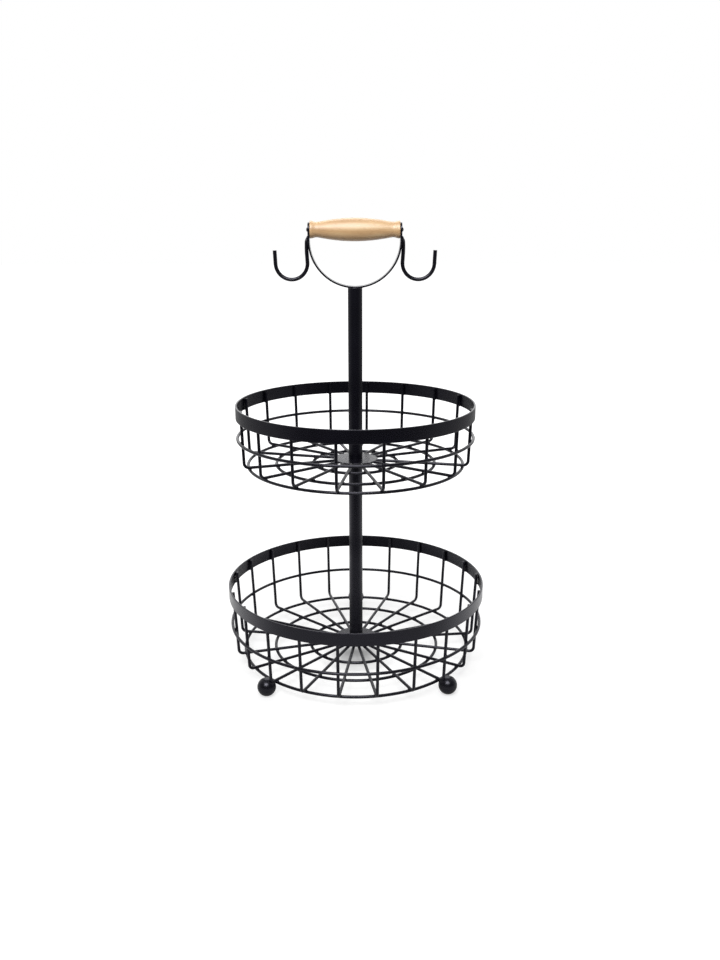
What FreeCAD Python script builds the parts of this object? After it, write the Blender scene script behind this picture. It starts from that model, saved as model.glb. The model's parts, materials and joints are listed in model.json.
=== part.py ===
"""Two-tier wire basket stand: two round wire baskets on a pole, with a bow, two hooks and a turning grip.

Millimetres, +Z up, +Y to the back. The origin is on the floor, on the pole's axis.
"""
import FreeCAD
import Part
import Sketcher

import math
import os

UP = FreeCAD.Vector(0, 0, 1)
TIERS = ("lower", "upper")

# Driving dimensions, in millimetres, degrees and counts.
DIMENSIONS = {
    # Round wire and flat stock of the baskets.
    "wire_diameter": 3.2,
    "weld_gap": 0.02,
    "band_height": 13.8,
    "band_thickness": 1.8,
    "disc_diameter": 47,
    "disc_thickness": 2,
    # Bent wires: a rib that leans in as it goes down, a bend and a spoke.
    "rib_bend_radius": 5,
    "rib_top_inset": 1.5,
    "spoke_end_radius": 13,
    "inner_ring_step": 39.2,
    # Lower basket. Its wires stand in two fans, one at the back and one at the front.
    "lower_rim_diameter": 280,
    "lower_basket_depth": 74.3,
    "lower_back_ribs": 11,
    "lower_back_spread": 164.5,
    "lower_back_turn": 1.7,
    "lower_front_ribs": 10,
    "lower_front_skew": -2.4,
    "lower_side_gap": 22.25,
    "lower_rib_lean": 3,
    "lower_mid_ring_drop": 45,
    "lower_base_ring_inset": 3.95,
    "lower_middle_ring_step": 33.75,
    # Upper basket.
    "tier_spacing": 198.6,
    "upper_rim_diameter": 251.2,
    "upper_basket_depth": 61.4,
    "upper_back_ribs": 8,
    "upper_back_spread": 143.5,
    "upper_back_turn": -3.9,
    "upper_front_ribs": 8,
    "upper_front_skew": 1.9,
    "upper_side_gap": 33.5,
    "upper_rib_lean": 2,
    "upper_mid_ring_drop": 35.2,
    "upper_base_ring_inset": 1.15,
    "upper_middle_ring_step": 30,
    # Ball feet, set beside the ribs that they are welded to. The front ones are counted from a fan's ends.
    "foot_diameter": 19.4,
    "foot_flat": 0.4,
    "foot_rise": 6.4,
    "foot_outset": 0.8,
    "foot_rib": 2,
    "foot_side_turn": 2.6,
    # Pole, its threaded plugs and what screws into them.
    "pole_diameter": 14.7,
    "pole_wall": 1.2,
    "upper_pole_length": 178.62,
    "fit_gap": 0.02,
    "insert_length": 16,
    "stud_diameter": 6,
    "stud_reach": 12,
    "bolt_gap": 0.2,
    "bolt_head_width": 10,
    "bolt_head_height": 4,
    "washer_diameter": 16,
    "washer_thickness": 1.2,
    # Bow of flat strap.
    "strap_width": 14,
    "strap_thickness": 1.8,
    "grip_rise": 10,
    # Turned grip on its pin.
    "grip_length": 90,
    "grip_end_gap": 0.3,
    "grip_mid_diameter": 22.8,
    "grip_neck_diameter": 15.2,
    "grip_end_diameter": 17.4,
    "grip_neck_inset": 7.5,
    "pin_diameter": 3,
    "pin_gap": 0.1,
    "pin_head_diameter": 4.6,
    "pin_head_height": 1.5,
    "pin_cap_seat": 0.7,
    # Hooks of round wire, welded to the bow. Each leg leans in below its weld.
    "hook_wire_diameter": 3.9,
    "hook_radius": 16.1,
    "hook_top_drop": 6,
    "hook_bend_drop": 32.7,
    "hook_leg_lean": 3.5,
    "hook_tip_length": 13.4,
    "hook_tip_lean": 2.5,
}


def basket_places(tier):
    """Where the pieces of one basket lie, worked out from its rim's top and its spokes' height."""
    lean = f"dims.{tier}_rib_lean"
    return {
        f"{tier}_rim_inner": f"dims.{tier}_rim_diameter - 2 * dims.band_thickness",
        f"{tier}_front_spread": f"360 - dims.{tier}_back_spread - 2 * dims.{tier}_side_gap",
        f"{tier}_front_turn": f"180 + dims.{tier}_back_turn + dims.{tier}_front_skew",
        f"{tier}_back_angle": f"90 - dims.{tier}_back_turn - dims.{tier}_back_spread / 2",
        f"{tier}_front_angle": f"90 - {tier}_front_turn - {tier}_front_spread / 2",
        f"{tier}_band_base": f"{tier}_rim_top - dims.band_height",
        f"{tier}_leg_top_radius": f"{tier}_rim_inner / 2 - wire_radius - dims.weld_gap",
        f"{tier}_leg_top_height": f"{tier}_rim_top - dims.rib_top_inset",
        f"{tier}_bend_height": f"{tier}_spoke_height + dims.rib_bend_radius",
        f"{tier}_leg_foot_height": f"{tier}_bend_height - dims.rib_bend_radius * sin({lean})",
        f"{tier}_leg_foot_radius":
            f"{tier}_leg_top_radius - ({tier}_leg_top_height - {tier}_leg_foot_height) * tan({lean})",
        f"{tier}_bend_radius": f"{tier}_leg_foot_radius - dims.rib_bend_radius * cos({lean})",
        f"{tier}_mid_ring_height": f"{tier}_rim_top - dims.{tier}_mid_ring_drop",
        f"{tier}_mid_ring_radius":
            f"{tier}_leg_top_radius - ({tier}_leg_top_height - {tier}_mid_ring_height) * tan({lean})"
            f" + wire_pitch / cos({lean})",
        f"{tier}_base_ring_height": f"{tier}_spoke_height - wire_pitch",
        f"{tier}_base_ring_outer": f"{tier}_bend_radius - dims.{tier}_base_ring_inset",
        f"{tier}_base_ring_middle": f"{tier}_base_ring_outer - dims.{tier}_middle_ring_step",
        f"{tier}_base_ring_inner": f"{tier}_base_ring_middle - dims.inner_ring_step",
        f"{tier}_disc_top": f"{tier}_disc_base + dims.disc_thickness",
    }


# Places that follow from the driving dimensions, as spreadsheet formulas.
PLACES = {
    "wire_radius": "dims.wire_diameter / 2",
    "wire_pitch": "dims.wire_diameter + dims.weld_gap",
    "groove_diameter": "dims.wire_diameter + 2 * dims.weld_gap",
    "groove_radius": "groove_diameter / 2",
    "foot_radius": "dims.foot_diameter / 2",
    "foot_height": "foot_radius - dims.foot_flat",
    "foot_latitude": "asin(foot_height / foot_radius)",
    "lower_spoke_height": "foot_height + dims.foot_rise",
    "lower_rim_top": "lower_spoke_height + dims.lower_basket_depth",
    "upper_rim_top": "lower_rim_top + dims.tier_spacing",
    "upper_spoke_height": "upper_rim_top - dims.upper_basket_depth",
    # The lower disc lies on its spokes, the upper one between their ends.
    "lower_spoke_end": "dims.spoke_end_radius",
    "lower_disc_base": "lower_spoke_height + wire_radius + dims.weld_gap",
    "upper_spoke_end": "dims.disc_diameter / 2 + dims.weld_gap",
    "upper_disc_base": "upper_spoke_height - dims.disc_thickness / 2",
    **basket_places("lower"),
    **basket_places("upper"),
    "foot_circle": "lower_leg_foot_radius + dims.foot_outset",
    "front_rib_step": "lower_front_spread / (dims.lower_front_ribs - 1)",
    "foot_rib_offset": "lower_front_spread / 2 - dims.foot_rib * front_rib_step",
    "foot_left_rib": "lower_front_turn + foot_rib_offset",
    "foot_left_turn": "foot_left_rib + dims.foot_side_turn",
    "foot_left_angle": "90 - foot_left_rib",
    "foot_left_x": "foot_circle * sin(foot_left_turn)",
    "foot_left_y": "foot_circle * cos(foot_left_turn)",
    "foot_right_rib": "lower_front_turn - foot_rib_offset",
    "foot_right_turn": "foot_right_rib - dims.foot_side_turn",
    "foot_right_angle": "90 - foot_right_rib",
    "foot_right_x": "foot_circle * sin(foot_right_turn)",
    "foot_right_y": "foot_circle * cos(foot_right_turn)",
    "back_rib_step": "dims.lower_back_spread / (dims.lower_back_ribs - 1)",
    "foot_back_rib": "dims.lower_back_turn + mod(dims.lower_back_ribs - 1; 2) * back_rib_step / 2",
    "foot_back_angle": "90 - foot_back_rib",
    "pole_bore": "dims.pole_diameter - 2 * dims.pole_wall",
    "lower_pole_length": "upper_disc_base - lower_disc_top",
    "insert_diameter": "pole_bore - 2 * dims.fit_gap",
    "thread_bore": "dims.stud_diameter + 2 * dims.fit_gap",
    "bolt_hole": "dims.stud_diameter + 2 * dims.bolt_gap",
    "head_insert_base": "upper_disc_base - dims.insert_length",
    "stud_base": "upper_disc_base - dims.stud_reach",
    "stud_length": "2 * dims.stud_reach + dims.disc_thickness",
    "washer_base": "lower_disc_base - dims.washer_thickness",
    "bolt_head_base": "washer_base - dims.bolt_head_height",
    "bolt_head_corner": "dims.bolt_head_width / 2 / cos(30)",
    "bolt_length": "dims.washer_thickness + dims.disc_thickness + dims.stud_reach",
    "bow_inner": "dims.grip_length / 2 + dims.grip_end_gap",
    "bow_outer": "bow_inner + dims.strap_thickness",
    "bow_base": "upper_disc_top + dims.upper_pole_length",
    "bow_height": "bow_base + bow_outer",
    "bow_side_length": "4 * bow_outer",
    "grip_height": "bow_height + dims.grip_rise",
    "tab_radius": "dims.strap_width / 2",
    "tab_top": "grip_height + tab_radius",
    "pole_cope": "bow_outer - sqrt(bow_outer ^ 2 - (dims.pole_diameter / 2) ^ 2)",
    "cope_radius": "bow_outer + dims.weld_gap",
    "cope_length": "2 * dims.pole_diameter",
    "upper_tube_length": "dims.upper_pole_length + pole_cope",
    "grip_half": "dims.grip_length / 2",
    "grip_neck_at": "grip_half - dims.grip_neck_inset",
    "grip_bore_radius": "dims.pin_diameter / 2 + dims.pin_gap",
    "grip_end_radius": "dims.grip_end_diameter / 2",
    "grip_neck_radius": "dims.grip_neck_diameter / 2",
    "grip_swell": "dims.grip_mid_diameter / 2 - grip_neck_radius",
    "grip_barrel_radius": "(grip_neck_at ^ 2 + grip_swell ^ 2) / (2 * grip_swell)",
    "grip_barrel_drop": "grip_barrel_radius - dims.grip_mid_diameter / 2",
    "pin_radius": "dims.pin_diameter / 2",
    "pin_fit_radius": "pin_radius + dims.fit_gap",
    "pin_hole": "dims.pin_diameter + 2 * dims.fit_gap",
    "pin_head_radius": "dims.pin_head_diameter / 2",
    "pin_dome_radius": "(pin_head_radius ^ 2 + dims.pin_head_height ^ 2) / (2 * dims.pin_head_height)",
    "pin_dome_tip": "bow_outer + dims.pin_head_height",
    "pin_dome_centre": "pin_dome_tip - pin_dome_radius",
    "pin_end": "bow_outer + dims.pin_cap_seat",
    "pin_socket": "pin_end + dims.fit_gap",
    "hook_offset": "bow_outer + dims.hook_wire_diameter / 2 + dims.weld_gap",
    "hook_weld_x": "hook_offset * cos(dims.hook_leg_lean)",
    "hook_weld_height": "bow_height - hook_offset * sin(dims.hook_leg_lean)",
    "hook_top": "grip_height - dims.hook_top_drop",
    "hook_top_x": "hook_weld_x + (hook_top - hook_weld_height) * tan(dims.hook_leg_lean)",
    "hook_height": "grip_height - dims.hook_bend_drop",
    "hook_leg_height": "hook_height + dims.hook_radius * sin(dims.hook_leg_lean)",
    "hook_leg_x": "hook_weld_x - (hook_weld_height - hook_leg_height) * tan(dims.hook_leg_lean)",
    "hook_x": "hook_leg_x + dims.hook_radius * cos(dims.hook_leg_lean)",
    "hook_bend_x": "hook_x + dims.hook_radius * cos(dims.hook_tip_lean)",
    "hook_bend_height": "hook_height - dims.hook_radius * sin(dims.hook_tip_lean)",
    "hook_tip_x": "hook_bend_x + dims.hook_tip_length * sin(dims.hook_tip_lean)",
    "hook_tip_height": "hook_bend_height + dims.hook_tip_length * cos(dims.hook_tip_lean)",
}

doc = FreeCAD.newDocument("tiered_wire_basket")
pieces = []


def fill_sheet(name, cells):
    """A sheet with one named cell a row: its alias in column A, its content in column B."""
    sheet = doc.addObject("Spreadsheet::Sheet", name)
    for row, (alias, content) in enumerate(cells.items(), start=1):
        sheet.set(f"A{row}", alias)
        sheet.set(f"B{row}", content)
        sheet.setAlias(f"B{row}", alias)
    doc.recompute()
    return sheet


dims = fill_sheet("dims", {alias: str(value) for alias, value in DIMENSIONS.items()})
places = fill_sheet("places", {alias: "=" + formula for alias, formula in PLACES.items()})


def bound(name):
    """The expression for a named size or place, with a minus sign kept in front."""
    sign, alias = ("-", name[1:]) if name.startswith("-") else ("", name)
    sheet = "dims" if alias in DIMENSIONS else "places"
    return f"{sign}{sheet}.{alias}"


def number(name):
    """The value of a named size or place now."""
    if name == "0":
        return 0.0
    sign, alias = (-1, name[1:]) if name.startswith("-") else (1, name)
    value = (dims if alias in DIMENSIONS else places).get(alias)
    return sign * float(getattr(value, "Value", value))


def bind(thing, **properties):
    """Binds properties of a document object to named sizes and places."""
    for path, name in properties.items():
        thing.setExpression(path.replace("__", "."), bound(name))
    return thing


def keep(thing, label):
    """Marks a finished sub-part, which is written to the file of its label."""
    thing.Label = label
    pieces.append(thing)
    return thing


def new_body(label):
    return doc.addObject("PartDesign::Body", label)


def new_sketch(body, role):
    """A sketch on one of the body's own origin planes."""
    sketch = body.newObject("Sketcher::SketchObject", body.Name + "_sketch")
    plane = next(feature for feature in body.Origin.OriginFeatures if feature.Role == role)
    sketch.AttachmentSupport = [(plane, "")]
    sketch.MapMode = "FlatFace"
    return sketch


def add_circle(sketch, diameter, centre_x="0", centre_y="0"):
    centre = FreeCAD.Vector(number(centre_x), number(centre_y), 0)
    circle = sketch.addGeometry(Part.Circle(centre, UP, number(diameter) / 2), False)
    hold(sketch, circle, 3, (centre_x, centre_y))
    size = sketch.addConstraint(Sketcher.Constraint("Diameter", circle, number(diameter)))
    sketch.setExpression(f"Constraints[{size}]", bound(diameter))


def hold(sketch, geometry, vertex, point):
    """Holds a vertex at named distances from the sketch's origin. A distance of None is left free."""
    for kind, name in zip(("DistanceX", "DistanceY"), point):
        if name is None:
            continue
        rule = sketch.addConstraint(Sketcher.Constraint(kind, -1, 1, geometry, vertex, number(name)))
        if name != "0":
            sketch.setExpression(f"Constraints[{rule}]", bound(name))


def add_path(sketch, start, steps, closed=False):
    """Lines and arcs from point to point.

    A step to (x, y) is a line. A step to (x, y, centre x, centre y, turn) is an arc, and its turn is 1
    anticlockwise or -1 clockwise.
    """
    def vector(point):
        return FreeCAD.Vector(number(point[0]), number(point[1]), 0)

    here = start
    ends = []
    for step in steps:
        there = step[:2]
        if len(step) == 2:
            edge = sketch.addGeometry(Part.LineSegment(vector(here), vector(there)), False)
            first, last = 1, 2
        else:
            centre, turn = vector(step[2:4]), step[4]
            first, last = (1, 2) if turn > 0 else (2, 1)
            arms = [vector(point) - centre for point in (here, there)][::turn]
            circle = Part.Circle(centre, UP, arms[0].Length)
            angles = [math.atan2(arm.y, arm.x) for arm in arms]
            edge = sketch.addGeometry(Part.ArcOfCircle(circle, *angles), False)
            hold(sketch, edge, 3, (None, step[3]))
        if ends:
            sketch.addConstraint(Sketcher.Constraint("Coincident", *ends[-1][1], edge, first))
        hold(sketch, edge, last, there)
        ends.append(((edge, first), (edge, last)))
        here = there
    if closed:
        sketch.addConstraint(Sketcher.Constraint("Coincident", *ends[-1][1], *ends[0][0]))
    else:
        hold(sketch, *ends[0][0], start)


def add_pad(body, sketch, length, symmetric=False):
    pad = body.newObject("PartDesign::Pad", body.Name + "_pad")
    pad.Profile = sketch
    if symmetric:
        pad.SideType = "Symmetric"
    return bind(pad, Length=length)


def round_body(label, outer, length, base, inner=None):
    """A disc, hoop, tube or plug about the pole's axis, padded up from its base."""
    body = new_body(label)
    sketch = new_sketch(body, "XY_Plane")
    add_circle(sketch, outer)
    if inner:
        add_circle(sketch, inner)
    add_pad(body, sketch, length)
    return bind(body, Placement__Base__z=base)


def turned_body(label, start, steps, height):
    """A piece turned about the grip's axis, along X at the named height."""
    body = new_body(label)
    sketch = new_sketch(body, "XZ_Plane")
    add_path(sketch, start, steps, closed=True)
    turning = body.newObject("PartDesign::Revolution", label + "_turning")
    turning.Profile = sketch
    turning.ReferenceAxis = (sketch, ["H_Axis"])
    return bind(body, Placement__Base__z=height)


def bent_wire(label, diameter, start, steps):
    """A round wire bent in the XZ plane, from an end that is cut level at the path's start."""
    body = new_body(label)
    path = new_sketch(body, "XZ_Plane")
    add_path(path, start, steps)
    section = new_sketch(body, "XY_Plane")
    bind(section, AttachmentOffset__Base__z=start[1])
    add_circle(section, diameter, centre_x=start[0])
    doc.recompute()
    pipe = body.newObject("PartDesign::AdditivePipe", label + "_pipe")
    pipe.Profile = section
    pipe.Spine = (path, [f"Edge{k}" for k in range(1, len(steps) + 1)])
    return body


def wire_ring(label, radius, height, wire="wire_radius"):
    torus = doc.addObject("Part::Torus", label)
    return bind(torus, Radius1=radius, Radius2=wire, Placement__Base__z=height)


def combine(kind, label, base, tool):
    result = doc.addObject(kind, label)
    result.Base = base
    result.Tool = tool
    return result


def rib(tier, diameter, label):
    """One bent wire of a basket, on the +X side: its rib leans in, bends and runs in as a spoke."""
    bend_radius, spoke_height = f"{tier}_bend_radius", f"{tier}_spoke_height"
    return bent_wire(label, diameter, (f"{tier}_leg_top_radius", f"{tier}_leg_top_height"), [
        (f"{tier}_leg_foot_radius", f"{tier}_leg_foot_height"),
        (bend_radius, spoke_height, bend_radius, f"{tier}_bend_height", -1),
        (f"{tier}_spoke_end", spoke_height),
    ])


def fan(tier, side):
    """A basket's bent wires on one side, as separate solids: one wire, repeated about the pole's axis."""
    body = rib(tier, "wire_diameter", f"{tier}_{side}_fan")
    body.AllowCompound = True
    pattern = body.newObject("PartDesign::PolarPattern", body.Name + "_pattern")
    pattern.Originals = [body.Tip]
    axis = next(feature for feature in body.Origin.OriginFeatures if feature.Role == "Z_Axis")
    pattern.Axis = (axis, [""])
    bind(pattern, Occurrences=f"{tier}_{side}_ribs", Angle=f"{tier}_{side}_spread")
    body.Tip = pattern
    return face_turn(body, f"{tier}_{side}_angle")


def face_turn(thing, angle):
    """Turns a piece from the +X side about the pole's axis, by a named angle."""
    thing.Placement.Rotation = FreeCAD.Rotation(UP, 1)
    return bind(thing, Placement__Rotation__Angle=angle)


def basket(tier):
    keep(round_body(f"{tier}_rim_band", f"{tier}_rim_diameter", "band_height", f"{tier}_band_base",
                    f"{tier}_rim_inner"), f"{tier}_rim_band")
    ribs = keep(doc.addObject("Part::Compound", f"{tier}_ribs"), f"{tier}_ribs")
    ribs.Links = [fan(tier, "back"), fan(tier, "front")]
    keep(wire_ring(f"{tier}_mid_ring", f"{tier}_mid_ring_radius", f"{tier}_mid_ring_height"),
         f"{tier}_mid_ring")
    for place in ("outer", "middle", "inner"):
        label = f"{tier}_base_ring_{place}"
        keep(wire_ring(label, label, f"{tier}_base_ring_height"), label)
    keep(round_body(f"{tier}_centre_disc", "disc_diameter", "disc_thickness", f"{tier}_disc_base",
                    "bolt_hole"), f"{tier}_centre_disc")


def feet():
    """Three balls, each flat below and notched where a rib's bend and the outer base ring run past it."""
    ring_groove = wire_ring("foot_ring_groove", "lower_base_ring_outer", "lower_base_ring_height",
                            "groove_radius")
    for label, x, y, angle in (("foot_front_left", "foot_left_x", "foot_left_y", "foot_left_angle"),
                               ("foot_front_right", "foot_right_x", "foot_right_y", "foot_right_angle"),
                               ("foot_back", None, "foot_circle", "foot_back_angle")):
        ball = bind(doc.addObject("Part::Sphere", label + "_ball"), Radius="foot_radius",
                    Angle1="-foot_latitude", Placement__Base__y=y, Placement__Base__z="foot_height")
        if x:
            bind(ball, Placement__Base__x=x)
        rib_groove = face_turn(rib("lower", "groove_diameter", label + "_rib_groove"), angle)
        notched = combine("Part::Cut", label + "_notched", ball, rib_groove)
        keep(combine("Part::Cut", label, notched, ring_groove), label)


def pole():
    keep(round_body("lower_pole", "pole_diameter", "lower_pole_length", "lower_disc_top", "pole_bore"),
         "lower_pole")
    tube = round_body("upper_tube", "pole_diameter", "upper_tube_length", "upper_disc_top", "pole_bore")
    cope = bind(doc.addObject("Part::Cylinder", "bow_cope"), Radius="cope_radius", Height="cope_length",
                Placement__Base__y="pole_diameter", Placement__Base__z="bow_height")
    cope.Placement.Rotation = FreeCAD.Rotation(FreeCAD.Vector(1, 0, 0), 90)
    keep(combine("Part::Cut", "upper_pole", tube, cope), "upper_pole")
    for label, base in (("lower_pole_foot_insert", "lower_disc_top"),
                        ("lower_pole_head_insert", "head_insert_base"),
                        ("upper_pole_foot_insert", "upper_disc_top")):
        keep(round_body(label, "insert_diameter", "insert_length", base, "thread_bore"), label)
    keep(round_body("joining_stud", "stud_diameter", "stud_length", "stud_base"), "joining_stud")
    keep(round_body("base_washer", "washer_diameter", "washer_thickness", "washer_base", "bolt_hole"),
         "base_washer")
    head = bind(doc.addObject("Part::Prism", "base_bolt_head"), Circumradius="bolt_head_corner",
                Height="bolt_head_height", Placement__Base__z="bolt_head_base")
    head.Polygon = 6
    shank = round_body("base_bolt_shank", "stud_diameter", "bolt_length", "washer_base")
    keep(combine("Part::Fuse", "base_bolt", head, shank), "base_bolt")


def bow():
    """Flat strap: two round-ended tabs with pin holes, joined by a half circle that stands on the pole."""
    strap = new_body("bow_strip")
    front = new_sketch(strap, "XZ_Plane")
    add_path(front, ("-bow_outer", "tab_top"), [
        ("-bow_outer", "bow_height"),
        ("bow_outer", "bow_height", "0", "bow_height", 1),
        ("bow_outer", "tab_top"),
        ("bow_inner", "tab_top"),
        ("bow_inner", "bow_height"),
        ("-bow_inner", "bow_height", "0", "bow_height", -1),
        ("-bow_inner", "tab_top"),
        ("-bow_outer", "tab_top"),
    ], closed=True)
    add_pad(strap, front, "strap_width", symmetric=True)
    outline = new_body("bow_side")
    side = new_sketch(outline, "YZ_Plane")
    add_path(side, ("-tab_radius", "upper_disc_top"), [
        ("tab_radius", "upper_disc_top"),
        ("tab_radius", "grip_height"),
        ("-tab_radius", "grip_height", "0", "grip_height", 1),
        ("-tab_radius", "upper_disc_top"),
    ], closed=True)
    add_circle(side, "pin_hole", centre_y="grip_height")
    add_pad(outline, side, "bow_side_length", symmetric=True)
    keep(combine("Part::Common", "bow_strap", strap, outline), "bow_strap")


def hook(label, sign):
    def at(name):
        return sign + name
    # The left hook is seen from its other side, so its bend turns the other way.
    turn = 1 if sign == "" else -1
    steps = [
        (at("hook_leg_x"), "hook_leg_height"),
        (at("hook_bend_x"), "hook_bend_height", at("hook_x"), "hook_height", turn),
        (at("hook_tip_x"), "hook_tip_height"),
    ]
    keep(bent_wire(label, "hook_wire_diameter", (at("hook_top_x"), "hook_top"), steps), label)


def grip():
    """Turned grip with a barrel, two necks and flared ends, loose on a pin with a domed head and cap."""
    keep(turned_body("wood_grip", ("-grip_half", "grip_bore_radius"), [
        ("grip_half", "grip_bore_radius"),
        ("grip_half", "grip_end_radius"),
        ("grip_neck_at", "grip_neck_radius"),
        ("-grip_neck_at", "grip_neck_radius", "0", "-grip_barrel_drop", 1),
        ("-grip_half", "grip_end_radius"),
        ("-grip_half", "grip_bore_radius"),
    ], "grip_height"), "wood_grip")
    keep(turned_body("grip_pin", ("-pin_dome_tip", "0"), [
        ("pin_end", "0"),
        ("pin_end", "pin_radius"),
        ("-bow_outer", "pin_radius"),
        ("-bow_outer", "pin_head_radius"),
        ("-pin_dome_tip", "0", "-pin_dome_centre", "0", 1),
    ], "grip_height"), "grip_pin")
    keep(turned_body("grip_pin_cap", ("pin_socket", "0"), [
        ("pin_dome_tip", "0"),
        ("bow_outer", "pin_head_radius", "pin_dome_centre", "0", 1),
        ("bow_outer", "pin_fit_radius"),
        ("pin_socket", "pin_fit_radius"),
        ("pin_socket", "0"),
    ], "grip_height"), "grip_pin_cap")


def check():
    """Stops before anything is written if an object failed or a sub-part has no valid solid."""
    failed = [thing.Name for thing in doc.Objects if {"Invalid", "Error"} & set(thing.State)]
    if failed:
        raise RuntimeError(f"failed objects: {failed}")
    for thing in pieces:
        if thing.Shape.isNull() or not thing.Shape.isValid() or not thing.Shape.Solids:
            raise RuntimeError(f"no valid solid in {thing.Label}")


for tier in TIERS:
    basket(tier)
feet()
pole()
bow()
hook("left_hook", "-")
hook("right_hook", "")
grip()
doc.recompute()
check()

os.makedirs("parts", exist_ok=True)
for thing in pieces:
    thing.Shape.exportStep(f"parts/{thing.Label}.step")
    box = thing.Shape.BoundBox
    print(f"{thing.Label:26s} {len(thing.Shape.Solids):3d} solids, {thing.Shape.Volume:10.1f} mm3,"
          f" z {box.ZMin:7.2f} to {box.ZMax:7.2f}")
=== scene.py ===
# %% [markdown]
# # A tiered wire basket
# Two round baskets of black coated wire stand one above the other on a steel pole. On top of the
# pole a bow of flat strap holds a turned wooden grip, with a hook at each side. The solid model
# gives every piece its place, so this lesson loads it as a fixed frame and dresses it with finer
# pieces and finishes.

# %% Load the frame
import json
import math

import bmesh
import bpy
from mathutils import Euler, Matrix, Vector


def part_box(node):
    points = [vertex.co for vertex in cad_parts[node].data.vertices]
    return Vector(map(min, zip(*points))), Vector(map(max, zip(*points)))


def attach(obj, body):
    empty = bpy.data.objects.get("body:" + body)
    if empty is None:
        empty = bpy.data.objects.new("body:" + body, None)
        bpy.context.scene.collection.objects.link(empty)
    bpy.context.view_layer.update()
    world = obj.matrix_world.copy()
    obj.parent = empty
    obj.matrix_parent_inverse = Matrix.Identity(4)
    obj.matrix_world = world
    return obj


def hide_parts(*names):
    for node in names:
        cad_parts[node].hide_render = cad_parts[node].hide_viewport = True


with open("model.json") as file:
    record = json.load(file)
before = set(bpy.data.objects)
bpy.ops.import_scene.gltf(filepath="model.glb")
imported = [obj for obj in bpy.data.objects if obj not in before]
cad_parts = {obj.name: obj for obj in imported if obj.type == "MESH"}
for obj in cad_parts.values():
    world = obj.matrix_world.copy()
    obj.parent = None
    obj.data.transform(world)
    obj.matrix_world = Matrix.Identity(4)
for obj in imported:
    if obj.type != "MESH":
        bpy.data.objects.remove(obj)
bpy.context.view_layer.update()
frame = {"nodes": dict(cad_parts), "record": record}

MM = 0.001
TIERS = ("lower", "upper")

# %% [markdown]
# ## Camera
# The photograph looks a little down on the stand, from about a metre away. The lens was worked out
# from the two rims, which are true circles: how flat each ellipse looks gives the height and the
# distance of the eye. The image is upright, so the sensor's 36 mm lie along its long side.

# %% Camera
EYE = Vector((0, -950.5, 483.9)) * MM
PITCH, YAW, ROLL = math.radians(16.431), math.radians(0.283), math.radians(-0.087)
LENS, SENSOR = 34.51, 36

scene = bpy.context.scene
camera_data = bpy.data.cameras.new("camera")
camera_data.lens = LENS
camera_data.sensor_width = SENSOR
camera = bpy.data.objects.new("camera", camera_data)
scene.collection.objects.link(camera)
camera.location = EYE
aim = Euler((math.pi / 2 - PITCH, 0, -YAW)).to_matrix() @ Matrix.Rotation(ROLL, 3, "Z")
camera.rotation_euler = aim.to_euler()
scene.camera = camera
print(f"camera {EYE.length:.2f} m from the origin")

# %% [markdown]
# ## Studio light
# Black coating shows mostly what it reflects, so the surroundings matter more than the lamps. The
# hoops are a good gauge: facing the camera they are nearly black, and they turn grey towards their
# sides, where they mirror the white wall behind. So the room's light grows smoothly from the
# camera's side to the back. The camera itself sees plain white.

# %% World
ROOM_DARK, ROOM_CURVE = 0.08, 2


def add_math(nodes, links, operation, first, second):
    """The result of a Math node. Its second value is a socket or a plain number."""
    step = nodes.new("ShaderNodeMath")
    step.operation = operation
    links.new(first, step.inputs[0])
    if isinstance(second, bpy.types.NodeSocket):
        links.new(second, step.inputs[1])
    else:
        step.inputs[1].default_value = second
    return step.outputs[0]


def add_span(nodes, links, value, before, after):
    """A value taken from one range to another and held at the ends of it."""
    span = nodes.new("ShaderNodeMapRange")
    for name, number in zip(("From Min", "From Max", "To Min", "To Max"), (*before, *after)):
        span.inputs[name].default_value = number
    links.new(value, span.inputs["Value"])
    return span.outputs[0]


scene.view_settings.view_transform = "Standard"
world = bpy.data.worlds.new("studio")
scene.world = world
world.use_nodes = True
nodes, links = world.node_tree.nodes, world.node_tree.links
nodes.clear()
direction = nodes.new("ShaderNodeTexCoord")
axes = nodes.new("ShaderNodeSeparateXYZ")
links.new(direction.outputs["Generated"], axes.inputs[0])
depth = add_span(nodes, links, axes.outputs["Y"], (-1, 1), (0, 1))
growth = add_math(nodes, links, "POWER", depth, ROOM_CURVE)
room = add_span(nodes, links, growth, (0, 1), (ROOM_DARK, 1))
path = nodes.new("ShaderNodeLightPath")
level = add_math(nodes, links, "MAXIMUM", room, path.outputs["Is Camera Ray"])
background = nodes.new("ShaderNodeBackground")
background.inputs["Color"].default_value = (1, 1, 1, 1)
links.new(level, background.inputs["Strength"])
links.new(background.outputs[0], nodes.new("ShaderNodeOutputWorld").inputs["Surface"])
print("world: white wall behind, dark room on the camera's side")

# %% [markdown]
# ## Lamps
# Three soft boxes light the stand. The key stands high in front and gives the grip its broad
# shine. The one low behind is what the discs mirror, and the one high behind draws a pale edge
# along the top of the grip. An area lamp makes such a soft light, and none of them is seen by the
# camera.

# %% Lamps
LAMP_AIM = Vector((0, 0, 0.25))


def soft_lamp(name, place, width, height, power):
    """A soft box that faces the middle of the stand, itself out of sight."""
    data = bpy.data.lights.new(name, "AREA")
    data.shape = "RECTANGLE"
    data.size, data.size_y, data.energy = width, height, power
    lamp = bpy.data.objects.new(name, data)
    scene.collection.objects.link(lamp)
    lamp.visible_camera = False
    lamp.location = place
    lamp.rotation_euler = (LAMP_AIM - lamp.location).to_track_quat("-Z", "Y").to_euler()
    print(f"{name}: {power} W")


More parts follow.
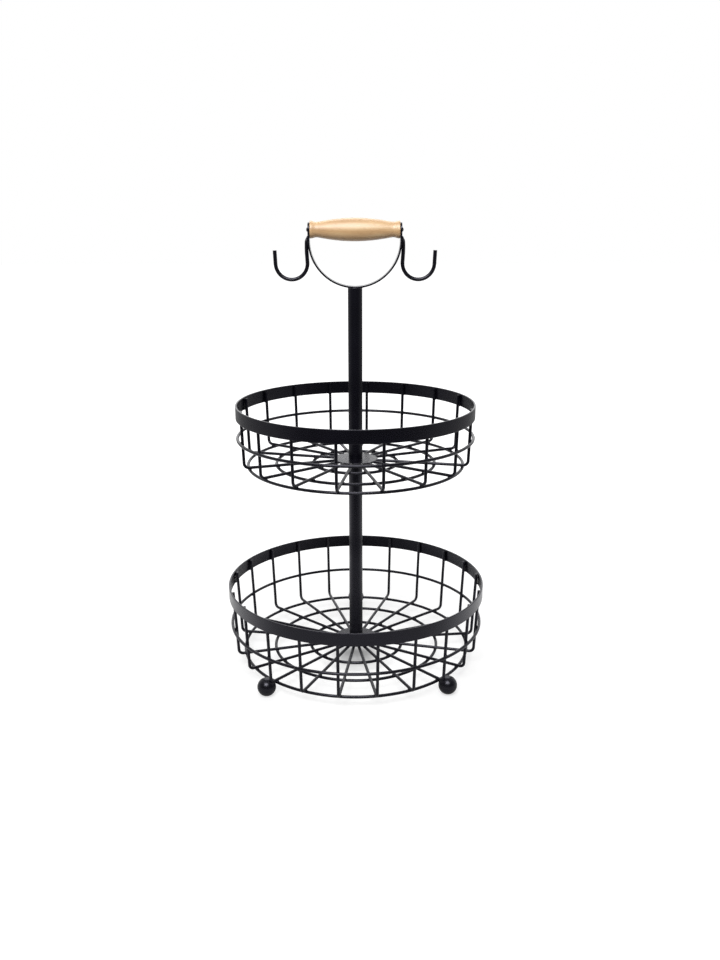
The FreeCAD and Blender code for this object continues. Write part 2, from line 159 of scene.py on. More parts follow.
soft_lamp("key_box", (-0.15, -0.97, 1.28), width=1.0, height=0.8, power=20)
soft_lamp("back_box", (0, 1.8, 1.0), width=2.0, height=1.2, power=4.5)
soft_lamp("top_box", (0, 1.2, 1.75), width=1.4, height=0.7, power=6.5)

# %% [markdown]
# ## Floor
# The floor is pale paper that ends just outside the camera's view and fades into the white behind.
# It stays a real surface, so the stand throws soft shadows on it. A little light of its own, seen
# only by the camera, lifts it to white, and more far away, to hide the floor's edge. Round the
# middle of the lower disc's shadow this light is cut low: a painted shadow that darkens the real
# one. It also dips in a ring where the basket's faint real shadow falls, which lets that shadow
# show and paints it a shade darker. In a wide ring round the stand the floor also glows for
# reflections alone, more towards the back: a painted reflection that the black coating mirrors.

# %% Floor
FLOOR_HALF, FLOOR_FRONT = 4.0, 0.46
PAPER = (0.46, 0.46, 0.46, 1)
BLACK, WHITE = (0, 0, 0), (1, 1, 1)
# The middle of the painted shadow under the lower disc, and the camera's own light at distances
# from there: cut low near the middle, a painted shadow, and dipping at 0.14 m, where it paints the
# basket's faint real shadow a shade darker.
PAINTED_SHADOW_SPOT = (0, -0.012, 0)
LIFT_AND_PAINTED_SHADOW = ((0.014, 0.24), (0.028, 0.6), (0.046, 0.76), (0.14, 0.61), (0.3, 0.8), (0.55, 1.0))
# The painted reflection, a glow only reflections see: its ring, and its growth from front to back.
PAINTED_REFLECTION_RING = ((0.14, BLACK), (0.26, WHITE), (0.45, WHITE), (0.9, BLACK))
PAINTED_REFLECTION_DEPTH, PAINTED_REFLECTION_LIGHT = (-0.2, -0.04), (0, 0.6)


def add_ramp(nodes, links, value, *stops):
    """The colour that a ramp gives to a value. Each stop is a place and a colour."""
    ramp = nodes.new("ShaderNodeValToRGB")
    for stop, (place, colour) in zip(ramp.color_ramp.elements, stops):
        stop.position = place
        stop.color = (*colour, 1)
    for place, colour in stops[2:]:
        ramp.color_ramp.elements.new(place).color = (*colour, 1)
    links.new(value, ramp.inputs["Fac"])
    return ramp.outputs["Color"]


floor_mesh = bpy.data.meshes.new("floor")
bm = bmesh.new()
bmesh.ops.create_grid(bm, x_segments=1, y_segments=1, size=FLOOR_HALF)
bmesh.ops.translate(bm, verts=bm.verts, vec=(0, FLOOR_HALF - FLOOR_FRONT, 0))
bm.to_mesh(floor_mesh)
bm.free()
floor = bpy.data.objects.new("floor", floor_mesh)
scene.collection.objects.link(floor)

sweep = bpy.data.materials.new("white_paper")
sweep.use_nodes = True
nodes, links = sweep.node_tree.nodes, sweep.node_tree.links
nodes.clear()
spot = nodes.new("ShaderNodeTexCoord").outputs["Object"]
distance = nodes.new("ShaderNodeVectorMath")
distance.operation = "DISTANCE"
distance.inputs[1].default_value = PAINTED_SHADOW_SPOT
links.new(spot, distance.inputs[0])
reach = distance.outputs["Value"]
axes = nodes.new("ShaderNodeSeparateXYZ")
links.new(spot, axes.inputs[0])
path = nodes.new("ShaderNodeLightPath")
# The camera's light with its dips: a painted shadow under the disc and a darker basket shadow.
lift_and_painted_shadow = add_ramp(nodes, links, reach, *((place, (light,) * 3) for place, light in LIFT_AND_PAINTED_SHADOW))
seen = add_math(nodes, links, "MULTIPLY", lift_and_painted_shadow, path.outputs["Is Camera Ray"])
# A painted reflection: for glossy rays the floor glows in a ring, more towards the back.
behind = add_span(nodes, links, axes.outputs["Y"], PAINTED_REFLECTION_DEPTH, PAINTED_REFLECTION_LIGHT)
painted_reflection = add_math(nodes, links, "MULTIPLY", behind, add_ramp(nodes, links, reach, *PAINTED_REFLECTION_RING))
painted_reflection_glow = add_math(nodes, links, "MULTIPLY", painted_reflection, path.outputs["Is Glossy Ray"])
glow = nodes.new("ShaderNodeEmission")
links.new(add_math(nodes, links, "ADD", seen, painted_reflection_glow), glow.inputs["Strength"])
paper = nodes.new("ShaderNodeBsdfDiffuse")
paper.inputs["Color"].default_value = PAPER
both = nodes.new("ShaderNodeAddShader")
links.new(paper.outputs[0], both.inputs[0])
links.new(glow.outputs[0], both.inputs[1])
links.new(both.outputs[0], nodes.new("ShaderNodeOutputMaterial").inputs["Surface"])
floor_mesh.materials.append(sweep)
print("floor: pale paper")

# %% [markdown]
# ## Black coating
# The steel is powder coated: a satin black skin with a fine orange peel, which breaks up the
# highlights. Noise a millimetre wide gives the peel as a bump and changes the gloss from grain to
# grain, and slower noise changes the black a little from place to place. A skin this dark gets
# nearly all its light from reflections, so its colour stays very low and its gloss does the work.

# %% Black coating
# Scales are patches in a metre. Most values of a noise lie in NOISE_SPAN.
NOISE_SPAN = (0.3, 0.7)
PATCH_SCALE, PEEL_SCALE, BUMP_DEPTH = 45, 1300, 0.1 * MM
COAT_TINT = (0.87, 0.86, 1, 1)


def new_finish(name):
    """A material with a Principled shader, and its node tree's makers."""
    finish = bpy.data.materials.new(name)
    finish.use_nodes = True
    tree = finish.node_tree
    return finish, tree.nodes, tree.links, tree.nodes["Principled BSDF"]


def add_noise(nodes, links, coordinates, scale, detail=3):
    noise = nodes.new("ShaderNodeTexNoise")
    noise.inputs["Scale"].default_value = scale
    noise.inputs["Detail"].default_value = detail
    links.new(coordinates, noise.inputs["Vector"])
    return noise.outputs["Fac"]


def add_shades(nodes, links, noise, dark, light):
    """A colour that follows a noise from dark to light."""
    return add_ramp(nodes, links, noise, *zip(NOISE_SPAN, (dark, light)))


def add_bump(nodes, links, height, strength):
    bump = nodes.new("ShaderNodeBump")
    bump.inputs["Strength"].default_value = strength
    bump.inputs["Distance"].default_value = BUMP_DEPTH
    links.new(height, bump.inputs["Height"])
    return bump.outputs["Normal"]


def coated(name, dark, light, gloss, peel):
    """Powder coat: its darkest and lightest black, its range of roughness, its peel's strength."""
    finish, nodes, links, skin = new_finish(name)
    here = nodes.new("ShaderNodeTexCoord").outputs["Object"]
    patches = add_noise(nodes, links, here, PATCH_SCALE)
    grain = add_noise(nodes, links, here, PEEL_SCALE, detail=2)
    links.new(add_shades(nodes, links, patches, dark, light), skin.inputs["Base Color"])
    links.new(add_span(nodes, links, grain, NOISE_SPAN, gloss), skin.inputs["Roughness"])
    links.new(add_bump(nodes, links, grain, peel), skin.inputs["Normal"])
    skin.inputs["Specular Tint"].default_value = COAT_TINT
    print(f"{name}: roughness {gloss[0]} to {gloss[1]}")
    return finish


coat = coated("black_coat", dark=(0.002, 0.0019, 0.004), light=(0.0034, 0.0032, 0.0062),
              gloss=(0.2, 0.32), peel=0.08)
ball_coat = coated("ball_coat", dark=(0.002, 0.002, 0.0034), light=(0.0032, 0.0032, 0.005),
                   gloss=(0.22, 0.34), peel=0.06)

# %% [markdown]
# ## Zinc
# The plugs, the stud, the bolt and the washer are plated, not painted. They sit inside the tubes
# and under the lower disc, where only the bolt and the washer can be seen, from below: a pale
# metal with the dull, cloudy gloss of zinc.

# %% Zinc
CLOUD_SCALE, ZINC_GLOSS = 220, (0.28, 0.45)
ZINC_DARK, ZINC_LIGHT = (0.42, 0.42, 0.4), (0.62, 0.62, 0.6)

zinc, nodes, links, skin = new_finish("zinc_plate")
here = nodes.new("ShaderNodeTexCoord").outputs["Object"]
clouds = add_noise(nodes, links, here, CLOUD_SCALE)
skin.inputs["Metallic"].default_value = 1
links.new(add_shades(nodes, links, clouds, ZINC_DARK, ZINC_LIGHT), skin.inputs["Base Color"])
links.new(add_span(nodes, links, clouds, NOISE_SPAN, ZINC_GLOSS), skin.inputs["Roughness"])
print("zinc_plate: cloudy plating")

# %% [markdown]
# ## Wood
# The grip is turned from a pale, close-grained wood, beech or much like it. Its fibres run along
# the grip, so every pattern is noise that is stretched along X: broad streaks of growth, fine dark
# flecks a few millimetres long, and pores that only show as a bump. A lacquer gives it a soft,
# pale shine.

# %% Wood
GRIP_HEIGHT = 463.92 * MM
STREAKS = ((0.3, (0.59, 0.33, 0.13)), (0.5, (0.73, 0.44, 0.19)), (0.7, (0.8, 0.53, 0.25)))
FLECKS = ((0.28, (0.66, 0.54, 0.42)), (0.42, WHITE))
FLECK_SHARE, WOOD_GLOSS, PORE_BUMP = 0.75, (0.42, 0.54), 0.12
LACQUER = {"Specular IOR Level": 0.85, "Sheen Weight": 0.1, "Sheen Roughness": 0.4,
           "Coat Weight": 1.0, "Coat IOR": 1.9, "Coat Roughness": 0.52}


def add_grain(nodes, links, coordinates, long, wide, detail):
    """Noise stretched along the fibres: the size of its patches along and across them."""
    stretch = nodes.new("ShaderNodeMapping")
    stretch.inputs["Location"].default_value = (0, 0, -GRIP_HEIGHT / wide)
    stretch.inputs["Scale"].default_value = (1 / long, 1 / wide, 1 / wide)
    links.new(coordinates, stretch.inputs["Vector"])
    return add_noise(nodes, links, stretch.outputs[0], 1, detail)


wood, nodes, links, skin = new_finish("turned_wood")
here = nodes.new("ShaderNodeTexCoord").outputs["Object"]
growth = add_grain(nodes, links, here, long=60 * MM, wide=3.5 * MM, detail=4)
flecks = add_grain(nodes, links, here, long=4 * MM, wide=0.35 * MM, detail=2)
pores = add_grain(nodes, links, here, long=2.5 * MM, wide=0.15 * MM, detail=2)
mix = nodes.new("ShaderNodeMix")
mix.data_type = "RGBA"
mix.blend_type = "MULTIPLY"
mix.inputs["Factor"].default_value = FLECK_SHARE
links.new(add_ramp(nodes, links, growth, *STREAKS), mix.inputs["A"])
links.new(add_ramp(nodes, links, flecks, *FLECKS), mix.inputs["B"])
links.new(mix.outputs["Result"], skin.inputs["Base Color"])
links.new(add_span(nodes, links, flecks, NOISE_SPAN, WOOD_GLOSS), skin.inputs["Roughness"])
links.new(add_bump(nodes, links, pores, PORE_BUMP), skin.inputs["Normal"])
for socket, value in LACQUER.items():
    skin.inputs[socket].default_value = value
print("turned_wood: streaks, flecks and pores along X")

# %% [markdown]
# ## Finishes on the solid model
# Some nodes of the solid model stay in view as they are: the zinc fasteners, which are plain
# turned shapes. The others are replaced further down, and get their finish too, so that no node is
# left bare. The record says which finish each node has.

# %% Finishes on the solid model's nodes
FINISHES = {"coated_steel": coat, "pin_steel": coat, "foot_ball": ball_coat,
            "zinc_steel": zinc, "grip_wood": wood}
for part in frame["record"]["subparts"]:
    node = frame["nodes"][part["node"]]
    node.data.materials.clear()
    node.data.materials.append(FINISHES[part["material_slot"]])

# %% [markdown]
# ## Hoops and discs
# Each basket hangs from a hoop of flat strip, and a pressed disc covers the middle where its
# spokes meet. Cut metal never has a perfectly sharp edge, and here the coating rounds it further,
# so both are made from a small rectangle whose corners are bevelled round before it is spun about
# the pole. The rounded edges catch a thin line of light, as they do in the photograph.

# %% Hoops and discs
BAND_THICKNESS, BAND_ROUNDING, BAND_STEPS = 1.8 * MM, 0.55 * MM, 192
DISC_HOLE, DISC_ROUNDING, DISC_STEPS = 3.2 * MM, 0.6 * MM, 96
CORNER_SEGMENTS = 4
CREASE, SAME_PLACE = math.radians(50), 0.002 * MM


def sharp_edges(bm):
    """The edges between faces that stand at more than 50 degrees to each other."""
    return [edge for edge in bm.edges if edge.is_manifold and edge.calc_face_angle() > CREASE]


def add_piece(bm, name, slot, body="stand", stands_for=()):
    """Makes a piece of a bmesh: closed, faces outwards, smooth but for creases, on its body."""
    bmesh.ops.remove_doubles(bm, verts=bm.verts, dist=SAME_PLACE)
    bmesh.ops.recalc_face_normals(bm, faces=bm.faces)
    for face in bm.faces:
        face.smooth = True
    for edge in sharp_edges(bm):
        edge.smooth = False
    mesh = bpy.data.meshes.new(name)
    bm.to_mesh(mesh)
    bm.free()
    mesh.materials.append(FINISHES[slot])
    piece = bpy.data.objects.new(name, mesh)
    scene.collection.objects.link(piece)
    piece.modifiers.new("flat_sides", "WEIGHTED_NORMAL").keep_sharp = True
    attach(piece, body)
    if stands_for:
        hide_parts(*stands_for)
    print(f"{name}: {len(mesh.polygons)} faces")


def spin_round(bm, steps, axis=(0, 0, 1), centre=(0, 0, 0)):
    """Spins the edges of a profile all the way round, and leaves a closed skin."""
    bmesh.ops.delete(bm, geom=bm.faces[:], context="FACES_ONLY")
    bmesh.ops.spin(bm, geom=bm.verts[:] + bm.edges[:], cent=centre, axis=axis, angle=math.tau,
                   steps=steps, use_merge=True)


def upright_rectangle(bm, inner, outer, low, high):
    """A rectangle on the +X side, between two distances from the pole's axis and two heights."""
    middle = Vector(((inner + outer) / 2, 0, (low + high) / 2))
    size = Matrix.Diagonal((outer - inner, high - low, 1, 1))
    upright = Matrix.Translation(middle) @ Matrix.Rotation(math.pi / 2, 4, "X") @ size
    bmesh.ops.create_grid(bm, x_segments=1, y_segments=1, size=0.5, matrix=upright)


def round_corners(bm, corners, offset):
    bmesh.ops.bevel(bm, geom=corners, offset=offset, segments=CORNER_SEGMENTS, profile=0.5,
                    affect="VERTICES", material=-1)


for tier in TIERS:
    for name, rounding, steps in (("rim_band", BAND_ROUNDING, BAND_STEPS),
                                  ("centre_disc", DISC_ROUNDING, DISC_STEPS)):
        node = f"{tier}_{name}"
        low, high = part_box(node)
        outer = (high.x - low.x) / 2
        inner = outer - BAND_THICKNESS if name == "rim_band" else DISC_HOLE
        bm = bmesh.new()
        upright_rectangle(bm, inner, outer, low.z, high.z)
        round_corners(bm, bm.verts[:], rounding)
        spin_round(bm, steps)
        add_piece(bm, f"{node}_rounded", "coated_steel", stands_for=[node])

# %% [markdown]
# ## Wires
# A wire is a circle of edges that grows: straight runs are extruded, and bends are spun about the
# bend's own centre, just as a bending tool forms them. The rings are one spin all the way round,
# and their places are read from the solid model's own rings.

# %% Wires
WIRE, WIRE_SIDES, RING_STEPS = 1.6 * MM, 16, 160


def wire_end(bm, radius, place, facing, sides=WIRE_SIDES):
    """The circle of edges that a wire grows from."""
    turn = Vector((0, 0, 1)).rotation_difference(facing).to_matrix().to_4x4()
    made = bmesh.ops.create_circle(bm, segments=sides, radius=radius,
                                   matrix=Matrix.Translation(place) @ turn)
    return list({edge for vert in made["verts"] for edge in vert.link_edges})


def verts_of(edges):
    return list({vert for edge in edges for vert in edge.verts})


def far_end(made):
    """The edges between the new vertices that an operator made last."""
    verts = {item for item in made if isinstance(item, bmesh.types.BMVert)}
    edges = [item for item in made if isinstance(item, bmesh.types.BMEdge)]
    return [edge for edge in edges if set(edge.verts) <= verts]


def grow_straight(bm, end, step):
    end = far_end(bmesh.ops.extrude_edge_only(bm, edges=end)["geom"])
    bmesh.ops.translate(bm, verts=verts_of(end), vec=step)
    return end


def grow_bend(bm, end, centre, angle, steps):
    """Bends the wire about a centre, in the upright plane along X."""
    made = bmesh.ops.spin(bm, geom=verts_of(end) + end, cent=centre, axis=(0, 1, 0), angle=angle,
                          steps=steps)
    return far_end(made["geom_last"])


rings = {}
for tier in TIERS:
    for name in ("mid_ring", "base_ring_outer", "base_ring_middle", "base_ring_inner"):
        node = f"{tier}_{name}"
        low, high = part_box(node)
        rings[node] = Vector(((high.x - low.x) / 2 - WIRE, 0, (low.z + high.z) / 2))
        bm = bmesh.new()
        wire_end(bm, WIRE, rings[node], Vector((0, 1, 0)))
        spin_round(bm, RING_STEPS)
        add_piece(bm, f"{node}_wire", "coated_steel", stands_for=[node])

# %% [markdown]
# ## Ribs
# Each bent wire is a rib that leans in on its way down, a bend, and a spoke that runs in to the
# disc. The wires stand in two fans, one at the back and one at the front, with a wider gap between
# the fans at each side, and the fans are turned a few degrees, as the photograph shows. So one
# wire is made for each fan, and its copies are spun from the fan's first angle to its last.

# %% Ribs
BEND, BEND_STEPS = 5 * MM, 8
# The lower spokes run in under their disc, the upper ones end at the edge of theirs.
SPOKE_END = {"lower": 13 * MM, "upper": 23.52 * MM}
LEAN = {"lower": math.radians(3), "upper": math.radians(2)}
# Each fan: how many wires, the degrees from the first to the last, the middle's turn from the back.
FANS = {"lower": ((11, 164.5, 1.7), (10, 151, 179.3)),
        "upper": ((8, 143.5, -3.9), (8, 149.5, 178))}


def rib_line(tier):
    """The top of a rib's leg, its foot and the spoke's start, on the +X side."""
    low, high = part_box(f"{tier}_ribs")
    band_low, band_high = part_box(f"{tier}_rim_band")
    lean = LEAN[tier]
    top = Vector(((band_high.x - band_low.x) / 2 - BAND_THICKNESS - WIRE, 0, high.z))
    spoke_height = low.z + WIRE
    foot_height = spoke_height + BEND * (1 - math.sin(lean))
    foot = Vector((top.x - (top.z - foot_height) * math.tan(lean), 0, foot_height))
    return top, foot, Vector((foot.x - BEND * math.cos(lean), 0, spoke_height))


def first_angle(spread, turn):
    return math.radians(90 - turn - spread / 2)


def all_of(bm):
    return bm.verts[:] + bm.edges[:] + bm.faces[:]


for tier in TIERS:
    top, foot, spoke = rib_line(tier)
    bend_centre = spoke + Vector((0, 0, BEND))
    bm = bmesh.new()
    for count, spread, turn in FANS[tier]:
        before = set(all_of(bm))
        start = wire_end(bm, WIRE, top, foot - top)
        end = grow_straight(bm, start, foot - top)
        end = grow_bend(bm, end, bend_centre, math.pi / 2 - LEAN[tier], BEND_STEPS)
        end = grow_straight(bm, end, (SPOKE_END[tier] - spoke.x, 0, 0))
        bmesh.ops.edgeloop_fill(bm, edges=start)
        bmesh.ops.edgeloop_fill(bm, edges=end)
        rib = [item for item in all_of(bm) if item not in before]
        bmesh.ops.rotate(bm, verts=[item for item in rib if isinstance(item, bmesh.types.BMVert)],
                         matrix=Matrix.Rotation(first_angle(spread, turn), 3, "Z"))
        bmesh.ops.spin(bm, geom=rib, axis=(0, 0, 1), angle=math.radians(spread), steps=count - 1,
                       use_duplicate=True)
    add_piece(bm, f"{tier}_rib_wires", "coated_steel", stands_for=[f"{tier}_ribs"])

# %% [markdown]
# ## Poles
# The pole is steel tube in two lengths, with the upper disc held between them. Each length is a
# tall, thin rectangle, the cut through the tube's wall, spun about the axis. The upper length is
# cut at its top to the round of the bow that is welded on it, so its top vertices are lifted to
# the bow's underside.

# %% Poles
BOW_INNER, BOW_OUTER, BOW_HEIGHT = 45.3 * MM, 47.1 * MM, 453.92 * MM
POLE_SIDES, POLE_WALL = 64, 1.2 * MM


def bow_underside(across):
    """The height of the bow's lower face, at a distance from the pole's axis."""
    return BOW_HEIGHT - math.sqrt(BOW_OUTER ** 2 - across ** 2)


for node in ("lower_pole", "upper_pole"):
    low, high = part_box(node)
    radius = (high.x - low.x) / 2
    bm = bmesh.new()
    upright_rectangle(bm, radius - POLE_WALL, radius, low.z, high.z)
    spin_round(bm, POLE_SIDES)
    if node == "upper_pole":
        for vert in bm.verts:
            if vert.co.z > (low.z + high.z) / 2:
                vert.co.z = bow_underside(vert.co.x)
    add_piece(bm, f"{node}_tube", "coated_steel", stands_for=[node])

# %% [markdown]
# ## Bow
# The bow is one flat strap, bent to half a circle, with straight tabs whose heads are rounded off
# round the pin. The strap's end, a rectangle of edges, is spun along the half circle, and both
# ends then grow up. One short edge of each end is spun over the top to make the round head. At
# last all sharp edges are bevelled together.

# %% Bow
STRAP_HALF, STRAP_ROUNDING = 7 * MM, 0.4 * MM
BOW_STEPS, TAB_STEPS = 64, 24


def round_sharp_edges(bm, offset, segments=3):
    bmesh.ops.bevel(bm, geom=sharp_edges(bm), offset=offset, segments=segments, profile=0.5,
                    affect="EDGES", material=-1)


bm = bmesh.new()
strap_end = Matrix.Translation((-(BOW_INNER + BOW_OUTER) / 2, 0, BOW_HEIGHT))
strap_size = Matrix.Diagonal((BOW_OUTER - BOW_INNER, 2 * STRAP_HALF, 1, 1))
bmesh.ops.create_grid(bm, x_segments=1, y_segments=1, size=0.5, matrix=strap_end @ strap_size)
bmesh.ops.delete(bm, geom=bm.faces[:], context="FACES_ONLY")
left_end = bm.edges[:]
right_end = grow_bend(bm, left_end, (0, 0, BOW_HEIGHT), -math.pi, BOW_STEPS)
for end in (left_end, right_end):
    tab = grow_straight(bm, end, (0, 0, GRIP_HEIGHT - BOW_HEIGHT))
    front = [edge for edge in tab if all(vert.co.y < 0 for vert in edge.verts)]
    bmesh.ops.spin(bm, geom=verts_of(front) + front, cent=(0, 0, GRIP_HEIGHT), axis=(1, 0, 0),
                   angle=-math.pi, steps=TAB_STEPS)
bmesh.ops.remove_doubles(bm, verts=bm.verts, dist=SAME_PLACE)
bmesh.ops.holes_fill(bm, edges=bm.edges)
bmesh.ops.recalc_face_normals(bm, faces=bm.faces)
round_sharp_edges(bm, STRAP_ROUNDING)
add_piece(bm, "bow_strap_bent", "coated_steel", stands_for=["bow_strap"])

# %% [markdown]
# ## Hooks
# A hook is thicker round wire: a leg that leans on the strap, half a turn, and a short tip. The
# leg's top is hammered slim and ground to a round shoulder that runs out on the strap: its circle
# grows up in a few rings, each narrower and nearer to the strap. The tip is cut square, with only
# a trace of rounding. The left hook is the right one seen in a mirror.

# %% Hooks
HOOK_WIRE, HOOK_RADIUS = 1.95 * MM, 16.1 * MM
HOOK_CENTRE = Vector((63.903, 0, 431.22)) * MM
LEG_TOP = Vector((49.406, 0, 457.92)) * MM
LEG_LEAN, TIP_LEAN, TIP_LENGTH = math.radians(3.5), math.radians(2.5), 13.4 * MM
HOOK_SIDES, HOOK_STEPS, TIP_ROUNDING = 20, 32, 0.25 * MM
# The shoulder's rings: how many mm each is below the top, and its share of the wire's width.
SHOULDER = ((16, 1.0), (12, 0.96), (9, 0.9), (6.4, 0.84), (5.2, 0.79), (4.2, 0.71), (3, 0.57),
            (1.8, 0.4), (0.8, 0.24), (0.2, 0.14), (0, 0.08))

leg_foot = HOOK_CENTRE + HOOK_RADIUS * Vector((-math.cos(LEG_LEAN), 0, math.sin(LEG_LEAN)))
leg = leg_foot - LEG_TOP
tip = TIP_LENGTH * Vector((math.sin(TIP_LEAN), 0, math.cos(TIP_LEAN)))
for side, node in ((-1, "left_hook"), (1, "right_hook")):
    mirror = Vector((side, 1, 1))
    bm = bmesh.new()
    start = wire_end(bm, HOOK_WIRE, leg_foot * mirror, leg * mirror, HOOK_SIDES)
    end, place, width = start, leg_foot, 1.0
    for drop, share in SHOULDER:
        ring = LEG_TOP.lerp(leg_foot, drop * MM / leg.length)
        end = grow_straight(bm, end, (ring - place) * mirror)
        strap_side = Matrix.Translation((HOOK_WIRE * Vector((1, 0, 0)) - ring) * mirror)
        narrower = (share / width, share / width, 1)
        bmesh.ops.scale(bm, verts=verts_of(end), vec=narrower, space=strap_side)
        place, width = ring, share
    half_turn = -side * (math.pi + LEG_LEAN - TIP_LEAN)
    end = grow_bend(bm, start, HOOK_CENTRE * mirror, half_turn, HOOK_STEPS)
    grow_straight(bm, end, tip * mirror)
    bmesh.ops.holes_fill(bm, edges=bm.edges)
    bmesh.ops.recalc_face_normals(bm, faces=bm.faces)
    round_sharp_edges(bm, TIP_ROUNDING, segments=2)
    add_piece(bm, f"{node}_wire", "coated_steel", stands_for=[node])

# %% [markdown]
# ## Grip and pin
# The grip is turned on a lathe: a long barrel, a neck near each end and a small lip. Barrel and
# lip are two parabolas, and a soft maximum of both blends one into the other at the neck. The
# profile follows that formula, its end corners are rounded, and one spin about the pin's axis
# makes the wood. The pin's head and its cap are low domes: the outer halves of flattened balls.

# %% Grip and pin
GRIP_HALF, GRIP_BORE, GRIP_ROUNDING = 45 * MM, 1.6 * MM, 0.5 * MM
BARREL, BARREL_FALL = 11.35 * MM, 345 * MM
LIP, LIP_PLACE, LIP_FALL = 8.3 * MM, 44.5 * MM, 12 * MM
NECK_BLEND = 2 * MM
PROFILE_STEPS, GRIP_STEPS = 60, 72
PIN, HEAD, HEAD_HEIGHT = 1.5 * MM, 2.3 * MM, 1.5 * MM
HEAD_SIDES, HEAD_RINGS = 24, 16


def grip_radius(along):
    barrel = BARREL - along ** 2 / BARREL_FALL
    lip = LIP - (abs(along) - LIP_PLACE) ** 2 / LIP_FALL
    return (barrel + lip + math.hypot(barrel - lip, NECK_BLEND)) / 2


def dome(bm, side):
    """The head of the pin on one side: half a flattened ball on the tab's outer face."""
    face = Vector((side * BOW_OUTER, 0, GRIP_HEIGHT))
    flat = Matrix.Translation(face) @ Matrix.Diagonal((HEAD_HEIGHT, HEAD, HEAD, 1))
    lying = Matrix.Rotation(math.pi / 2, 4, "Y")
    bmesh.ops.create_uvsphere(bm, u_segments=HEAD_SIDES, v_segments=HEAD_RINGS, radius=1,
                              matrix=flat @ lying)
    bmesh.ops.bisect_plane(bm, geom=all_of(bm), plane_co=face, plane_no=(side, 0, 0),
                           clear_inner=True)
    bmesh.ops.holes_fill(bm, edges=bm.edges)


stations = [GRIP_HALF * (2 * step / PROFILE_STEPS - 1) for step in range(PROFILE_STEPS + 1)]
profile = [(x, grip_radius(x)) for x in stations]
profile = [(-GRIP_HALF, GRIP_BORE), *profile, (GRIP_HALF, GRIP_BORE)]
bm = bmesh.new()
turned = [bm.verts.new((x, 0, GRIP_HEIGHT + radius)) for x, radius in profile]
bm.faces.new(turned)
round_corners(bm, [turned[1], turned[-2]], GRIP_ROUNDING)
spin_round(bm, GRIP_STEPS, axis=(1, 0, 0), centre=(0, 0, GRIP_HEIGHT))
add_piece(bm, "wood_grip_turned", "grip_wood", body="grip", stands_for=["wood_grip"])

bm = bmesh.new()
dome(bm, -1)
shank = wire_end(bm, PIN, Vector((-BOW_OUTER, 0, GRIP_HEIGHT)), Vector((1, 0, 0)))
grow_straight(bm, shank, (2 * BOW_OUTER, 0, 0))
bmesh.ops.holes_fill(bm, edges=bm.edges)
add_piece(bm, "grip_pin_domed", "pin_steel", stands_for=["grip_pin"])
bm = bmesh.new()
dome(bm, 1)
add_piece(bm, "grip_pin_cap_domed", "pin_steel", stands_for=["grip_pin_cap"])

# %% [markdown]
# ## Feet
# The feet are balls welded under three of the wires. A ball is worn flat where it stands, so a
# sphere is cut at the floor and closed again.

# %% Feet
BALL, BALL_HEIGHT = 9.7 * MM, 9.3 * MM
BALL_SIDES, BALL_RINGS = 48, 32

for node in ("foot_front_left", "foot_front_right", "foot_back"):
    low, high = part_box(node)
    place = Vector(((low.x + high.x) / 2, (low.y + high.y) / 2, low.z + BALL_HEIGHT))
    bm = bmesh.new()
    bmesh.ops.create_uvsphere(bm, u_segments=BALL_SIDES, v_segments=BALL_RINGS, radius=BALL,
                              matrix=Matrix.Translation(place))
    bmesh.ops.bisect_plane(bm, geom=all_of(bm), plane_co=(0, 0, low.z), plane_no=(0, 0, 1),
                           clear_inner=True)
    bmesh.ops.holes_fill(bm, edges=bm.edges)
    add_piece(bm, f"{node}_ball", "foot_ball", stands_for=[node])

# %% [markdown]
# ## Welds
# Where wires cross they are spot welded: the two melt together in a small lump, which the coating
# then smooths. Each is a ball of few faces, pulled flat and turned about the pole to its wire.
# Every rib has one at the edge of its hoop, at the ring round it and at each ring under its spoke,
# and the upper spokes have one more where they meet the edge of their disc. Two long beads hold
# the hooks on the strap, and a thin one runs round the top of the pole, under the bow.

# %% Welds
# The half sizes of the beads: out from the pole, along the hoop, and up.
BAND_BEAD = Vector((0.8, 2.1, 0.7)) * MM
RING_BEAD = Vector((0.9, 1.9, 1.9)) * MM
SPOKE_BEAD = Vector((1.9, 1.9, 0.9)) * MM
DISC_BEAD = Vector((0.9, 1.9, 1.3)) * MM
HOOK_BEAD = Vector((0.8, 2.4, 4.5)) * MM
BEAD_SIDES, BEAD_RINGS = 8, 6
BAND_BEAD_LIFT, HOOK_BEAD_GAP, HOOK_BEAD_HEIGHT = 0.3 * MM, 0.1 * MM, 450.5 * MM
BOW_BEAD, BOW_BEAD_SIDES = 0.7 * MM, 8


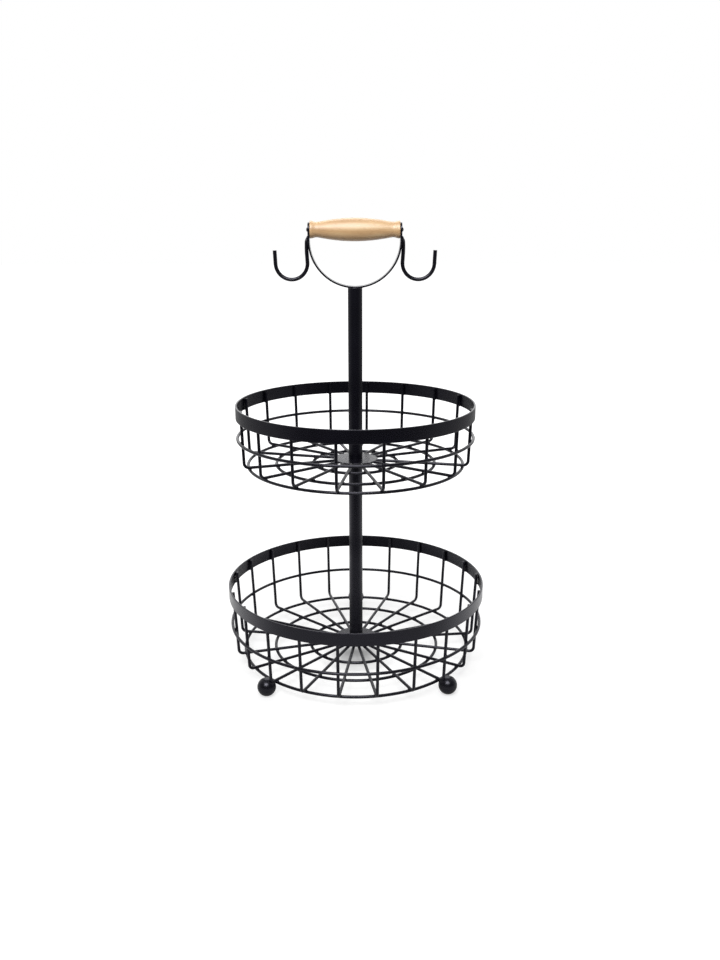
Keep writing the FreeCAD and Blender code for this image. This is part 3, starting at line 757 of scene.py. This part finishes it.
def add_bead(bm, place, size, turn=0.0):
    """A weld bead at a place on the +X side, turned about the pole."""
    matrix = Matrix.Translation(place) @ Matrix.Diagonal((*size, 1))
    bmesh.ops.create_uvsphere(bm, u_segments=BEAD_SIDES, v_segments=BEAD_RINGS, radius=1,
                              matrix=Matrix.Rotation(turn, 4, "Z") @ matrix)


def rib_angles(tier):
    for count, spread, turn in FANS[tier]:
        for step in range(count):
            yield first_angle(spread, turn) + math.radians(spread) * step / (count - 1)


for tier in TIERS:
    top, foot, spoke = rib_line(tier)
    low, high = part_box(f"{tier}_rim_band")
    mid_ring = rings[f"{tier}_mid_ring"]
    band_edge = Vector(((high.x - low.x) / 2 - BAND_THICKNESS, 0, low.z + BAND_BEAD_LIFT))
    leg_at_ring = foot.lerp(top, (mid_ring.z - foot.z) / (top.z - foot.z))
    beads = [(band_edge, BAND_BEAD), (leg_at_ring.lerp(mid_ring, 0.5), RING_BEAD)]
    for name in ("base_ring_outer", "base_ring_middle", "base_ring_inner"):
        ring = rings[f"{tier}_{name}"]
        beads.append((Vector((ring.x, 0, (ring.z + spoke.z) / 2)), SPOKE_BEAD))
    if tier == "upper":
        beads.append((Vector((SPOKE_END[tier], 0, spoke.z)), DISC_BEAD))
    bm = bmesh.new()
    for angle in rib_angles(tier):
        for place, size in beads:
            add_bead(bm, place, size, angle)
    add_piece(bm, f"{tier}_spot_welds", "coated_steel")

bm = bmesh.new()
for side in (-1, 1):
    add_bead(bm, Vector((side * (BOW_OUTER + HOOK_BEAD_GAP), 0, HOOK_BEAD_HEIGHT)), HOOK_BEAD)
add_piece(bm, "hook_welds", "coated_steel")

bm = bmesh.new()
low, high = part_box("upper_pole")
pole_side = Vector(((high.x - low.x) / 2, 0, 0))
wire_end(bm, BOW_BEAD, pole_side, Vector((0, 1, 0)), BOW_BEAD_SIDES)
spin_round(bm, POLE_SIDES)
for vert in bm.verts:
    vert.co.z += bow_underside(vert.co.x)
add_piece(bm, "bow_weld", "coated_steel")
